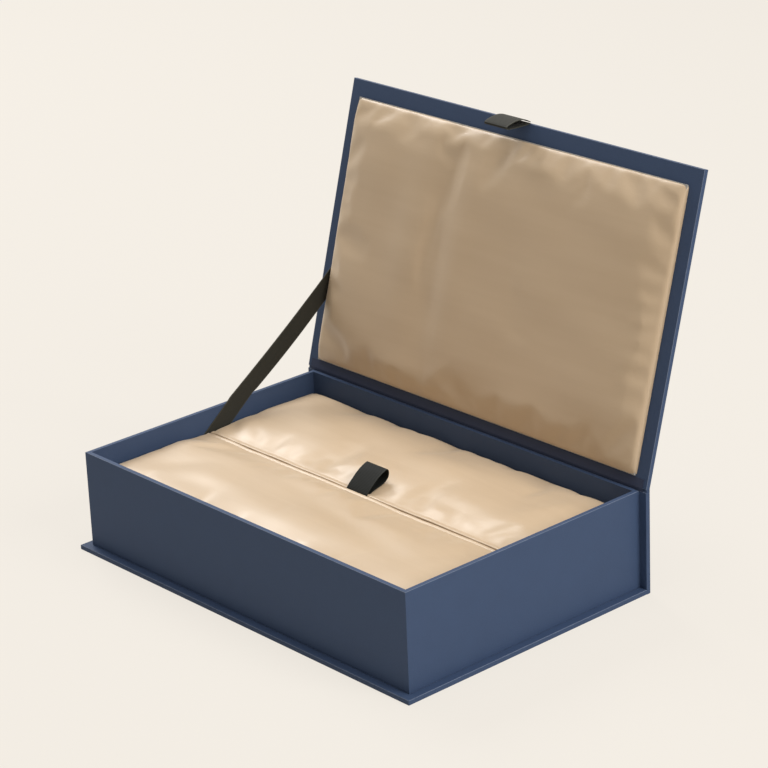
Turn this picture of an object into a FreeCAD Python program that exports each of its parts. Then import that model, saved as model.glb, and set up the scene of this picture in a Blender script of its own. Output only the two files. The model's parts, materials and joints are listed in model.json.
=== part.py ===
import FreeCAD, Part
import Sketcher
import cmath
import math
import os
from FreeCAD import Placement, Rotation, Vector

# Rigid gift box, shown open: a paper-wrapped case of base, spine and lid, a tray glued into it,
# a satin insert that lifts off an inner collar, a satin pad in the lid, and three ribbons.
# Millimetres. The origin is the centre of the case's underside, +Z is up, the lid hinges at +Y.

DRIVING_SIZES = [
    ("case_width", 250.0, "case, left to right"),
    ("case_depth", 162.0, "case, front edge to back of the spine"),
    ("rim_height", 54.5, "underside of the case to the tray's rim"),
    ("case_board", 2.1, "greyboard of base, spine and lid"),
    ("wall_board", 1.8, "greyboard of the tray's walls and floor"),
    ("paper", 0.25, "covering paper with its glue"),
    ("paper_round", 0.3, "rounding of the paper over a board's edge"),
    ("front_ledge", 4.5, "base board in front of the tray"),
    ("side_ledge", 4.5, "base and spine boards beside the tray"),
    ("case_turn_in", 15.0, "covering paper turned over a case board"),
    ("rim_turn_in", 22.0, "tray paper turned down inside the rim"),
    ("foot_turn_in", 12.0, "tray paper turned under the floor"),
    ("tape_paper", 0.12, "paper tape, thickness"),
    ("tape_leg", 14.0, "corner tape, width of each leg"),
    ("tape_margin", 5.0, "tape past the ribbon that it holds"),
    ("lid_setback", 3.5, "closed lid's front edge behind the base's"),
    ("lid_gap", 0.5, "closed lid above the tray's rim"),
    ("hinge_slot", 0.4, "fold line to the lid's lower edge"),
    ("fold_drop", 2.6, "fold line, how much lower it lies with the lid open"),
    ("open_angle", 15.5, "degrees that the open lid leans back"),
    ("lining_foot", 1.8, "inner hinge paper, glued on the spine's top edge"),
    ("collar_board", 2.0, "greyboard of the inner collar"),
    ("insert_recess", 10.55, "tray's rim to the edges of the insert's pads"),
    ("insert_side_gap", 0.8, "insert to the side walls"),
    ("insert_end_gap", 0.6, "insert to the front and rear walls"),
    ("insert_board", 1.5, "greyboard of the insert's panel"),
    ("slot_ease", 0.5, "panel's slot, clear of the pull loop"),
    ("satin", 0.35, "satin cover with its glue"),
    ("satin_turn_in", 10.0, "satin turned under a panel's edge"),
    ("insert_edge", 5.4, "insert's pads above their panel, at the edges"),
    ("insert_crown", 2.8, "insert's pads, crown above the edges"),
    ("insert_roll", 2.4, "insert's pads, rounding of the upper edges"),
    ("seam_gap", 1.0, "slit between the insert's two pads"),
    ("side_draw", 0.4, "how far a pad's sides draw in between its corners"),
    ("pad_corner", 3.0, "corner radius of a pad in plan"),
    ("lid_pad_side", 7.7, "lid pad to the lid's side edges"),
    ("lid_pad_foot", 5.3, "fold line to the lid pad"),
    ("lid_pad_head", 8.7, "lid pad to the lid's front edge"),
    ("lid_card", 1.0, "card that the lid pad is made on"),
    ("lid_pad_edge", 1.9, "lid pad above its card, at the edges"),
    ("lid_pad_crown", 3.4, "lid pad, crown above the edges"),
    ("lid_pad_roll", 1.5, "lid pad, rounding of the upper edges"),
    ("ribbon", 0.35, "ribbon thickness"),
    ("ribbon_parting", 0.1, "between two ribbon layers that lie together"),
    ("stay_width", 11.0, "stay ribbon"),
    ("stay_top", 48.5, "fold line to the stay's middle, along the lid"),
    ("stay_knee", 26.4, "stay's bend, behind the case's middle"),
    ("stay_knee_rise", 3.6, "stay's bend above the rim"),
    ("stay_foot_angle", 39.0, "degrees, stay below its bend"),
    ("stay_foot_clear", 0.6, "stay's glued end above the collar"),
    ("stay_tuck", 14.0, "stay tucked under the lid pad"),
    ("loop_width", 15.0, "pull loop's ribbon"),
    ("loop_reach", 15.6, "pull loop, lean towards the rear"),
    ("loop_rise", 9.8, "pull loop, height above the pads' edges"),
    ("loop_tail", 16.0, "pull loop's ends under the insert"),
    ("loop_bend", 0.4, "pull loop's bends under the panel, radius"),
    ("tab_width", 16.0, "lid tab's ribbon"),
    ("tab_reach", 17.0, "lid tab, in front of the lid's edge"),
    ("tab_rise", 3.4, "lid tab, arch above its root"),
    ("tab_tail", 12.0, "lid tab's ends inside the lid"),
]

doc = FreeCAD.newDocument("RigidGiftBox")
sheet = doc.addObject("Spreadsheet::Sheet", "sizes")
for row, (alias, value, meaning) in enumerate(DRIVING_SIZES, start=1):
    sheet.set(f"A{row}", alias)
    sheet.set(f"B{row}", str(value))
    sheet.set(f"C{row}", meaning)
    sheet.setAlias(f"B{row}", alias)
doc.recompute()

# Places that several pieces share, as expressions on the sheet.
HALF_WIDTH = "sizes.case_width / 2"
BACK = "sizes.case_depth / 2"
FRONT = "-sizes.case_depth / 2"
SLAB = "(sizes.case_board + 2 * sizes.paper)"
SPINE_FACE = f"({BACK} - {SLAB})"
TRAY_SIDE = f"({HALF_WIDTH} - sizes.side_ledge)"
TRAY_FRONT = f"({FRONT} + sizes.front_ledge)"
WALL = "(sizes.wall_board + 2 * sizes.paper)"
INNER_SIDE = f"({TRAY_SIDE} - {WALL})"
INNER_FRONT = f"({TRAY_FRONT} + {WALL})"
INNER_BACK = f"({SPINE_FACE} - {WALL})"
FLOOR_FOOT = f"({SLAB} + sizes.paper)"
FLOOR_TOP = f"({FLOOR_FOOT} + sizes.wall_board)"
LINING_TOP = f"({FLOOR_TOP} + sizes.paper)"
RIM = "sizes.rim_height"
BOARD_RIM = f"({RIM} - sizes.paper)"
PANEL_TOP = f"({RIM} - sizes.insert_recess - sizes.insert_edge)"
PANEL_FOOT = f"({PANEL_TOP} - sizes.insert_board)"
COLLAR_TOP = f"({PANEL_FOOT} - sizes.satin)"
PANEL_SIDE = f"({INNER_SIDE} - sizes.insert_side_gap - sizes.satin)"
PANEL_FRONT = f"({INNER_FRONT} + sizes.insert_end_gap + sizes.satin)"
PANEL_BACK = f"({INNER_BACK} - sizes.insert_end_gap - sizes.satin)"
SEAM = f"(({INNER_FRONT} + {INNER_BACK}) / 2)"
FOLD_HEIGHT = f"({RIM} + sizes.lid_gap + {SLAB} - sizes.fold_drop)"
LID_LENGTH = "(sizes.case_depth - sizes.lid_setback)"
CARD_FACE = f"({SLAB} + sizes.satin)"
CARD_SIDE = f"({HALF_WIDTH} - sizes.lid_pad_side - sizes.satin)"
CARD_FOOT = "(sizes.lid_pad_foot + sizes.satin)"
CARD_HEAD = f"({LID_LENGTH} - sizes.lid_pad_head - sizes.satin)"
LEAN = "(sizes.open_angle * 1 deg)"

STRAIGHT = 1e-6  # difference of two unit headings that still counts as none


def worked_out(expression):
    return float(sheet.evalExpression(expression))


def both_ways(half):
    return f"-({half})", half


def leaning(y, z):
    # A point of the lid, given as if it stood upright on its fold line, in the box's own frame.
    return (f"({BACK} + ({z}) * sin({LEAN}) + ({y}) * cos({LEAN}))",
            f"({FOLD_HEIGHT} + ({z}) * cos({LEAN}) - ({y}) * sin({LEAN}))")


def lean_back(piece, y="0", z="0"):
    # Tilts a piece that was made upright, and puts its own origin at y, z of the upright lid.
    piece.Placement.Rotation = Rotation(Vector(-1, 0, 0), worked_out(LEAN))
    piece.setExpression("Placement.Rotation.Angle", LEAN)
    for axis, place in zip("yz", leaning(y, z)):
        piece.setExpression(f"Placement.Base.{axis}", place)


def block(name, x, y, z, on_lid=False):
    # A box from low to high on each axis.
    box = doc.addObject("Part::Box", name)
    for side, (low, high) in (("Length", x), ("Width", y), ("Height", z)):
        box.setExpression(side, f"({high}) - ({low})")
    box.setExpression("Placement.Base.x", x[0])
    if on_lid:
        lean_back(box, y[0], z[0])
    else:
        box.setExpression("Placement.Base.y", y[0])
        box.setExpression("Placement.Base.z", z[0])
    return box


def outlined(name, plane, corners, low, high):
    # A body padded from low to high off an origin plane, with a straight-edged outline.
    body = doc.addObject("PartDesign::Body", name)
    sketch = body.newObject("Sketcher::SketchObject", name + "_outline")
    origin_plane = next(item for item in body.Origin.OriginFeatures if item.Role == plane)
    sketch.AttachmentSupport = [(origin_plane, "")]
    sketch.MapMode = "FlatFace"
    sketch.setExpression("AttachmentOffset.Base.z", low)
    points = [Vector(worked_out(across), worked_out(up), 0) for across, up in corners]
    for start, end in zip(points, points[1:] + points[:1]):
        sketch.addGeometry(Part.LineSegment(start, end))
    for i in range(len(points)):
        sketch.addConstraint(Sketcher.Constraint("Coincident", i, 2, (i + 1) % len(points), 1))
    for i, place in enumerate(corners):
        for kind, expression in zip(("DistanceX", "DistanceY"), place):
            fixed = Sketcher.Constraint(kind, -1, 1, i, 1, worked_out(expression))
            sketch.setExpression(f"Constraints[{sketch.addConstraint(fixed)}]", expression)
    pad = body.newObject("PartDesign::Pad", name + "_pad")
    pad.Profile = sketch
    pad.setExpression("Length", f"({high}) - ({low})")
    return body


def rectangle(x, y):
    return [(x[0], y[0]), (x[1], y[0]), (x[1], y[1]), (x[0], y[1])]


def joined(name, pieces):
    fuse = doc.addObject("Part::MultiFuse", name)
    fuse.Shapes = pieces
    return fuse


def less(name, base, *tools):
    cut = doc.addObject("Part::Cut", name)
    cut.Base = base
    cut.Tool = tools[0] if len(tools) == 1 else joined(name + "_tools", list(tools))
    return cut


def rounded(name, base, sharp=None):
    # The paper's rounding along a block's long edges, apart from one that a fold paper continues.
    # The short edges at its corners stay sharp, where the paper is mitred.
    doc.recompute()
    near = size("paper")
    long_edges = [(i, edge) for i, edge in enumerate(base.Shape.Edges, start=1)
                  if edge.Length > size("rim_height")]
    picked = [i for i, edge in long_edges
              if sharp is None or edge.CenterOfMass.distanceToPoint(sharp) > near]
    fillet = doc.addObject("Part::Fillet", name)
    fillet.Base = base
    fillet.Edges = [(i, size("paper_round"), size("paper_round")) for i in picked]
    return fillet


def shaped(name, shape, placement=None):
    piece = doc.addObject("Part::Feature", name)
    piece.Shape = shape
    if placement:
        piece.Placement = placement
    return piece


def size(alias):
    return worked_out(f"sizes.{alias}")


nodes = {}


def node(name, piece):
    piece.Label = name
    nodes[name] = piece
    return piece


def wrapped_board(name, x, y, z, bare, on_lid=False, let_in=None, fold=None):
    # A greyboard and the paper round it. The bare block is where the turned-in paper leaves off.
    inside = [(f"({low}) + sizes.paper", f"({high}) - sizes.paper") for low, high in (x, y, z)]
    board = block(name + "_board_blank", *inside, on_lid=on_lid)
    skin = rounded(name + "_skin", block(name + "_wrap_blank", x, y, z, on_lid=on_lid), fold)
    window = block(name + "_bare", *bare, on_lid=on_lid)
    if let_in:
        node(name + "_board", less(name + "_board_cut", board, let_in))
        node(name + "_wrap", less(name + "_wrap_cut", skin, board, window, let_in))
    else:
        node(name + "_board", board)
        node(name + "_wrap", less(name + "_wrap_cut", skin, board, window))


def case_boards():
    turn = "sizes.case_turn_in"
    bare = (both_ways(f"{HALF_WIDTH} - {turn}"), (f"{FRONT} + {turn}", f"{SPINE_FACE} - {turn}"),
            (f"{SLAB} / 2", f"2 * {SLAB}"))
    wrapped_board("base", both_ways(HALF_WIDTH), (FRONT, SPINE_FACE), ("0", SLAB), bare)
    bare = (both_ways(f"{HALF_WIDTH} - {turn}"), (f"{SPINE_FACE} - {SLAB}", f"{BACK} - {SLAB} / 2"),
            (turn, f"{RIM} - {turn}"))
    fold = Vector(0, worked_out(BACK), size("rim_height"))
    wrapped_board("spine", both_ways(HALF_WIDTH), (SPINE_FACE, BACK), ("0", RIM), bare, fold=fold)


def tray_boards():
    # The floor and the side walls stand between the front and rear walls.
    outer, inner = f"{TRAY_SIDE} - sizes.paper", f"{INNER_SIDE} + sizes.paper"
    front = (f"{TRAY_FRONT} + sizes.paper", f"{INNER_FRONT} - sizes.paper")
    rear = (f"{INNER_BACK} + sizes.paper", f"{SPINE_FACE} - sizes.paper")
    between, upright = (front[1], rear[0]), (FLOOR_FOOT, BOARD_RIM)
    node("tray_floor", block("floor_blank", both_ways(inner), between, (FLOOR_FOOT, FLOOR_TOP)))
    node("front_wall", block("front_blank", both_ways(outer), front, upright))
    node("rear_wall", block("rear_blank", both_ways(outer), rear, upright))
    node("left_wall", block("left_blank", (f"-({outer})", f"-({inner})"), between, upright))
    node("right_wall", block("right_blank", (inner, outer), between, upright))


def corner_tape(name, to_side, corner, inward):
    # One strip of tape, folded round an upright corner of the boards.
    side = f"({TRAY_SIDE} - sizes.paper)"
    upright = (f"{FLOOR_FOOT} + sizes.paper", f"{BOARD_RIM} - sizes.paper")

    def corner_block(role, past, reach):
        x = (f"{to_side} * ({side} + {past})", f"{to_side} * ({side} - {reach})")
        y = (f"{corner} - {inward} * {past}", f"{corner} + {inward} * {reach}")
        x = x if to_side < 0 else x[::-1]
        y = y if inward > 0 else y[::-1]
        return block(f"{name}_{role}", x, y, upright)

    outside = corner_block("outside", "sizes.tape_paper", "sizes.tape_leg")
    return less(name, outside, corner_block("inside", "0", "(2 * sizes.tape_leg)"))


def corner_tapes():
    strips = []
    for end, corner, inward in (("front", f"({TRAY_FRONT} + sizes.paper)", 1),
                                ("rear", f"({SPINE_FACE} - sizes.paper)", -1)):
        for hand, to_side in (("left", -1), ("right", 1)):
            strips.append(corner_tape(f"{end}_{hand}_tape", to_side, corner, inward))
    tapes = doc.addObject("Part::Compound", "tape_group")
    tapes.Links = strips
    return node("corner_tapes", tapes)


def tray_papers(tapes):
    # The covering paper goes up the walls, over the rim, down inside, and under the floor.
    board_x, board_y = both_ways(f"{TRAY_SIDE} - sizes.paper"), (f"{TRAY_FRONT} + sizes.paper",
                                                                 f"{SPINE_FACE} - sizes.paper")
    core_x, core_y = both_ways(f"{INNER_SIDE} + sizes.paper"), (f"{INNER_FRONT} - sizes.paper",
                                                                f"{INNER_BACK} + sizes.paper")
    room_x, room_y = both_ways(INNER_SIDE), (INNER_FRONT, INNER_BACK)
    above = f"2 * {RIM}"
    turn_in_foot = f"{RIM} - sizes.rim_turn_in"
    blank = block("tray_blank", both_ways(TRAY_SIDE), (TRAY_FRONT, SPINE_FACE), (SLAB, RIM))
    walls = less("wall_ring", block("wall_outside", board_x, board_y, (FLOOR_FOOT, BOARD_RIM)),
                 block("wall_inside", core_x, core_y, (FLOOR_FOOT, above)))
    room = block("tray_room", room_x, room_y, (FLOOR_FOOT, above))
    lining_room = block("lining_room", core_x, core_y, (FLOOR_FOOT, turn_in_foot))
    foot = f"({WALL} + sizes.foot_turn_in)"
    foot_bare = block("foot_bare", both_ways(f"{TRAY_SIDE} - {foot}"),
                      (f"{TRAY_FRONT} + {foot}", f"{SPINE_FACE} - {foot}"), ("0", FLOOR_TOP))
    node("tray_wrap", less("tray_paper", rounded("tray_skin", blank), walls, room, lining_room,
                           foot_bare, tapes))
    lining = block("lining_blank", core_x, core_y, (FLOOR_TOP, turn_in_foot))
    node("tray_lining", less("lining_paper", lining,
                             block("lined_room", room_x, room_y, (LINING_TOP, above))))


def collar():
    # Four strips on edge, glued inside the tray. The insert rests on their upper edges.
    upright = (LINING_TOP, COLLAR_TOP)
    front = (INNER_FRONT, f"{INNER_FRONT} + sizes.collar_board")
    rear = (f"{INNER_BACK} - sizes.collar_board", INNER_BACK)
    right = (f"{INNER_SIDE} - sizes.collar_board", INNER_SIDE)
    left = (f"-{INNER_SIDE}", f"-({right[0]})")
    between = (front[1], rear[0])
    node("front_collar", block("front_strip", both_ways(INNER_SIDE), front, upright))
    node("rear_collar", block("rear_strip", both_ways(INNER_SIDE), rear, upright))
    node("left_collar", block("left_strip", left, between, upright))
    node("right_collar", block("right_strip", right, between, upright))


def line(start, end):
    return Part.makeLine(Vector(*start), Vector(*end))


def arc(start, middle, end):
    return Part.Arc(Vector(*start), Vector(*middle), Vector(*end)).toShape()


def pad_outline(half_x, half_y, corner, draw, height, curved):
    # The edges of a rectangle. Curved, its sides draw in and its corners are round, or else all
    # of them are straight, with the corners cut off.
    blunt = corner * (1 - math.sqrt(0.5))
    edges = []
    for quarter in range(4):
        across, along = (half_x, half_y) if quarter % 2 == 0 else (half_y, half_x)
        start, stop = (across, corner - along, height), (across, along - corner, height)
        after = (across - corner, along, height)
        side, bend = line(start, stop), line(stop, after)
        if curved:
            side = arc(start, (across - draw, 0, height), stop)
            bend = arc(stop, (across - blunt, along - blunt, height), after)
        for edge in (side, bend):
            edge.rotate(Vector(0, 0, 0), Vector(0, 0, 1), 90 * quarter)
            edges.append(edge)
    return edges


def band(lower, upper, flat):
    # The faces between two outlines, edge by edge.
    if not flat:
        return [Part.makeRuledSurface(*pair) for pair in zip(lower, upper)]
    faces = []
    for below, above in zip(lower, upper):
        start, stop = (vertex.Point for vertex in below.Vertexes)
        over_start, over_stop = (vertex.Point for vertex in above.Vertexes)
        faces.append(Part.Face(Part.makePolygon([start, stop, over_stop, over_start, start])))
    return faces


def soft_pad(half_x, half_y, edge, crown, roll, corner, draw):
    # A pad on the plane z = 0: upright sides, rolled upper edges, then a crown that flattens out.
    # Each level is its height and how far its outline lies inside the foot's.
    levels = [(0, 0), (edge - roll, 0)]
    for angle in (45, 85):
        turn = math.radians(angle)
        levels.append((edge - roll * (1 - math.sin(turn)), roll * (1 - math.cos(turn))))
    side_levels, flat_share, corner_gain = len(levels), 0.8, 0.1
    for share in (0.12, 0.28, 0.5, flat_share):
        rise = (1 - (1 - share) ** 2) / (1 - (1 - flat_share) ** 2)
        levels.append((edge + crown * rise, roll + share * (half_y - roll)))
    outlines = [pad_outline(half_x - inset, half_y - inset, corner + corner_gain * inset, draw,
                            height, i < side_levels) for i, (height, inset) in enumerate(levels)]
    faces = [Part.Face(Part.Wire(outlines[0])), Part.Face(Part.Wire(outlines[-1]))]
    for i, (lower, upper) in enumerate(zip(outlines, outlines[1:])):
        faces += band(lower, upper, flat=i >= side_levels)
    shell = Part.makeShell(faces)
    shell.sewShape()
    pad = Part.makeSolid(shell)
    return pad if pad.Volume > 0 else pad.reversed()


def pad_and_cover(name, half_x, half_y, edge, crown, roll, skirt, placement):
    # Wadding on its panel, and the blank of the satin round both. The skirt covers the panel's edge.
    satin = size("satin")
    corner, draw = size("pad_corner"), size("side_draw")
    wadding = soft_pad(half_x, half_y, edge - satin, crown, roll, corner, draw)
    cover = soft_pad(half_x + satin, half_y + satin, edge + skirt, crown, roll + satin,
                     corner + satin, draw)
    down = Placement(Vector(0, 0, -skirt), Rotation())
    return (node(name + "_wadding", shaped(name + "_filling", wadding, placement)),
            shaped(name + "_cover", cover, placement.multiply(down)))


def insert_panel():
    panel = outlined("panel", "XY_Plane", rectangle(both_ways(PANEL_SIDE), (PANEL_FRONT, PANEL_BACK)),
                     PANEL_FOOT, PANEL_TOP)
    doc.recompute()
    pad = panel.Tip
    upright = [f"Edge{i}" for i, item in enumerate(pad.Shape.Edges, start=1)
               if item.BoundBox.ZLength > size("insert_board") / 2]
    corners = panel.newObject("PartDesign::Fillet", "panel_corners")
    corners.Base = (pad, upright)
    corners.setExpression("Radius", "sizes.pad_corner")
    slot = block("panel_slot", both_ways("sizes.loop_width / 2 + sizes.slot_ease"),
                 (f"{SEAM} - sizes.ribbon - sizes.slot_ease",
                  f"{SEAM} + sizes.ribbon + sizes.slot_ease"),
                 (COLLAR_TOP, f"{PANEL_TOP} + sizes.insert_board"))
    node("insert_board", less("slotted_panel", panel, slot))
    return panel


def insert():
    panel = insert_panel()
    turned_x = both_ways(f"{PANEL_SIDE} - sizes.satin_turn_in")
    turned_y = (f"{PANEL_FRONT} + sizes.satin_turn_in", f"{PANEL_BACK} - sizes.satin_turn_in")
    window = block("satin_window", turned_x, turned_y, (LINING_TOP, PANEL_TOP))
    slit = size("seam_gap") / 2 + size("satin")
    halves = (("front", worked_out(PANEL_FRONT), worked_out(SEAM) - slit),
              ("rear", worked_out(SEAM) + slit, worked_out(PANEL_BACK)))
    for name, low, high in halves:
        place = Placement(Vector(0, (low + high) / 2, worked_out(PANEL_TOP)), Rotation())
        wadding, cover = pad_and_cover(name, worked_out(PANEL_SIDE), (high - low) / 2,
                                       size("insert_edge"), size("insert_crown"),
                                       size("insert_roll"), size("insert_board") + size("satin"), place)
        node(name + "_satin", less(name + "_satin_skin", cover, wadding, panel, window))
    backing = block("backing_sheet", turned_x, turned_y, (f"{PANEL_FOOT} - sizes.paper", PANEL_FOOT))
    tail_room = block("tail_room", both_ways("sizes.loop_width / 2 + sizes.slot_ease"),
                      (f"{SEAM} - sizes.loop_tail - sizes.slot_ease",
                       f"{SEAM} + sizes.loop_tail + sizes.slot_ease"), (LINING_TOP, PANEL_TOP))
    node("insert_backing", less("backing_cut", backing, tail_room))
    tape_top = f"({PANEL_FOOT} - sizes.ribbon)"
    node("loop_tape", block("loop_tape_strip", both_ways("sizes.loop_width / 2 + sizes.tape_margin"),
                            (f"{SEAM} - sizes.loop_tail - sizes.tape_margin",
                             f"{SEAM} + sizes.loop_tail + sizes.tape_margin"),
                            (f"{tape_top} - sizes.tape_paper", tape_top)))


def arc_run(start, heading, stop):
    # An arc that leaves start along heading: three points on it, each with the heading there.
    chord = stop - start
    along = chord / abs(chord)
    sagitta = abs(chord) / 2 * math.tan(cmath.phase(along / heading) / 2)
    middle = (start + stop) / 2 - 1j * along * sagitta
    return [(start, heading), (middle, along), (stop, along * along / heading)]


def smooth_runs(stations):
    # Two tangent arcs from each station to the next. A station is y, z and its heading in degrees.
    runs = []
    for (y1, z1, out), (y2, z2, back) in zip(stations, stations[1:]):
        start, stop = complex(y1, z1), complex(y2, z2)
        leave, arrive = cmath.rect(1, math.radians(out)), cmath.rect(1, math.radians(back))
        chord = stop - start
        if abs(chord / abs(chord) - leave) + abs(arrive - leave) < STRAIGHT:
            runs.append(arc_run(start, leave, stop))
            continue
        along = (chord * (leave + arrive).conjugate()).real
        spread = 2 * (1 - (leave * arrive.conjugate()).real)
        reach = (math.sqrt(along ** 2 + spread * abs(chord) ** 2) - along) / spread
        meeting = (start + stop + reach * (leave - arrive)) / 2
        first = arc_run(start, leave, meeting)
        runs += [first, arc_run(meeting, first[-1][1], stop)]
    return runs


def ribbon_band(runs, width, thickness):
    # A flat ribbon across X that follows runs in the YZ plane, half its thickness to each side.
    sides = []
    for shift in (0.5j * thickness, -0.5j * thickness):
        side = []
        for run in runs:
            start, middle, end = [(0, (p + shift * h).real, (p + shift * h).imag) for p, h in run]
            straight = abs(run[0][1] - run[-1][1]) < STRAIGHT
            side.append(line(start, end) if straight else arc(start, middle, end))
        sides.append(side)
    tips = []
    for i, run_end in ((0, 0), (-1, -1)):
        first, second = [side[i].Vertexes[run_end].Point for side in sides]
        tips.append(Part.makeLine(first, second))
    face = Part.Face(Part.Wire(Part.__sortEdges__(sides[0] + sides[1] + tips)))
    band = face.extrude(Vector(width, 0, 0))
    band.translate(Vector(-width / 2, 0, 0))
    return band


def pull_loop():
    # Both legs come up through the panel's slot and the slit, and the loop leans to the rear.
    half, bend = size("ribbon") / 2, size("loop_bend")
    apart = half + size("ribbon_parting") / 2
    seam, tail = worked_out(SEAM), size("loop_tail")
    low = worked_out(PANEL_FOOT) - half
    pads = worked_out(PANEL_TOP) + size("insert_edge")
    throat = pads - size("insert_roll")
    reach, rise = size("loop_reach"), size("loop_rise")
    stations = [
        (seam - tail, low, 0),
        (seam - apart - bend, low, 0),
        (seam - apart, low + bend, 90),
        (seam - apart, throat, 90),
        (seam + 0.55 * reach, pads + 0.74 * rise, 42),
        (seam + 0.95 * reach, pads + rise, 10),
        (seam + reach, pads + 0.82 * rise, -85),
        (seam + 0.84 * reach, pads + 0.42 * rise, -140),
        (seam + 0.4 * reach, pads + 0.18 * rise, -170),
        (seam + apart, throat, -90),
        (seam + apart, low + bend, -90),
        (seam + apart + bend, low, 0),
        (seam + tail, low, 0),
    ]
    ribbon = ribbon_band(smooth_runs(stations), size("loop_width"), 2 * half)
    node("pull_loop", shaped("pull_loop_ribbon", ribbon))


def lid_boards():
    turn = "sizes.case_turn_in"
    bare = (both_ways(f"{HALF_WIDTH} - {turn}"), (f"-2 * {SLAB}", f"-{SLAB} / 2"),
            (f"sizes.hinge_slot + {turn}", f"{LID_LENGTH} - {turn}"))
    paper_face = f"(sizes.paper - {SLAB})"
    tails = block("tab_tails", both_ways("sizes.tab_width / 2"),
                  (paper_face, f"{paper_face} + 2 * sizes.ribbon"),
                  (f"{LID_LENGTH} - sizes.tab_tail", LID_LENGTH), on_lid=True)
    node("tab_end", tails)
    fold = Vector(0, *(worked_out(place) for place in leaning("0", "sizes.hinge_slot")))
    wrapped_board("lid", both_ways(HALF_WIDTH), (f"-{SLAB}", "0"), ("sizes.hinge_slot", LID_LENGTH),
                  bare, on_lid=True, let_in=tails, fold=fold)


def lid_pad(tuck_low, tuck_high):
    # The pad is made flat, turned to face the tray and set on the lid. The stay passes under its edge.
    card_y = (f"-({CARD_FACE} + sizes.lid_card)", f"-{CARD_FACE}")
    card = block("card_blank", both_ways(CARD_SIDE), card_y, (CARD_FOOT, CARD_HEAD), on_lid=True)
    node("lid_pad_card", card)
    half = f"({CARD_HEAD} - {CARD_FOOT}) / 2"
    middle = leaning(card_y[0], f"({CARD_FOOT} + {CARD_HEAD}) / 2")
    place = Placement(Vector(0, *(worked_out(value) for value in middle)),
                      Rotation(Vector(1, 0, 0), 90 - size("open_angle")))
    wadding, cover = pad_and_cover("lid_pad", worked_out(CARD_SIDE), worked_out(half),
                                   size("lid_pad_edge"), size("lid_pad_crown"),
                                   size("lid_pad_roll"), size("lid_card") + size("satin"), place)
    window = block("lid_satin_window", both_ways(f"{CARD_SIDE} - sizes.satin_turn_in"),
                   (f"-{CARD_FACE}", "0"),
                   (f"{CARD_FOOT} + sizes.satin_turn_in", f"{CARD_HEAD} - sizes.satin_turn_in"),
                   on_lid=True)
    notch = block("stay_notch", (f"-{HALF_WIDTH}", f"sizes.satin_turn_in - {CARD_SIDE}"),
                  (f"-{CARD_FACE}", "0"), (tuck_low, tuck_high), on_lid=True)
    node("lid_pad_satin", less("lid_satin_skin", cover, wadding, card, window, notch))


def stay():
    # A ribbon on edge along the left wall. It meets the lid aslant and turns flat under the pad.
    knee_y, knee_z = "sizes.stay_knee", f"({RIM} + sizes.stay_knee_rise)"
    top_y, top_z = leaning(f"-{SLAB}", "sizes.stay_top")
    slope = f"atan2({top_z} - {knee_z}; {top_y} - {knee_y})"
    foot_slope = "(sizes.stay_foot_angle * 1 deg)"
    half = "(sizes.stay_width / 2)"
    to_lid = f"(90 deg - {LEAN} - {slope})"
    top_low = f"(sizes.stay_top - {half} / sin({to_lid}))"
    top_high = f"(sizes.stay_top + {half} / sin({to_lid}))"
    mitre, halfway = f"({half} / cos(({foot_slope} - {slope}) / 2))", f"(({foot_slope} + {slope}) / 2)"
    foot_z = f"({COLLAR_TOP} + sizes.stay_foot_clear + {half} * cos({foot_slope}))"
    foot_y = f"({knee_y} - ({knee_z} - {foot_z}) / tan({foot_slope}))"
    corners = [
        leaning(f"-{SLAB}", top_low),
        leaning(f"-{SLAB}", top_high),
        (f"{knee_y} - {mitre} * sin({halfway})", f"{knee_z} + {mitre} * cos({halfway})"),
        (f"{foot_y} - {half} * sin({foot_slope})", f"{foot_z} + {half} * cos({foot_slope})"),
        (f"{foot_y} + {half} * sin({foot_slope})", f"{foot_z} - {half} * cos({foot_slope})"),
        (f"{knee_y} + {mitre} * sin({halfway})", f"{knee_z} - {mitre} * cos({halfway})"),
    ]
    run = outlined("stay_run", "YZ_Plane", corners, f"-{INNER_SIDE}", f"sizes.ribbon - {INNER_SIDE}")
    across, along = f"sizes.stay_tuck * sin({to_lid})", f"sizes.stay_tuck * cos({to_lid})"
    tuck_corners = [
        (f"-{INNER_SIDE}", top_low),
        (f"{across} - {INNER_SIDE}", f"{top_low} + {along}"),
        (f"{across} - {INNER_SIDE}", f"{top_high} + {along}"),
        (f"-{INNER_SIDE}", top_high),
    ]
    tuck = outlined("stay_tuck_end", "XZ_Plane", tuck_corners, SLAB, f"{SLAB} + sizes.ribbon")
    lean_back(tuck)
    node("stay_ribbon", joined("stay", [run, tuck]))
    return f"{top_low} - sizes.slot_ease", f"{top_high} + {along} + sizes.slot_ease"


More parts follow.
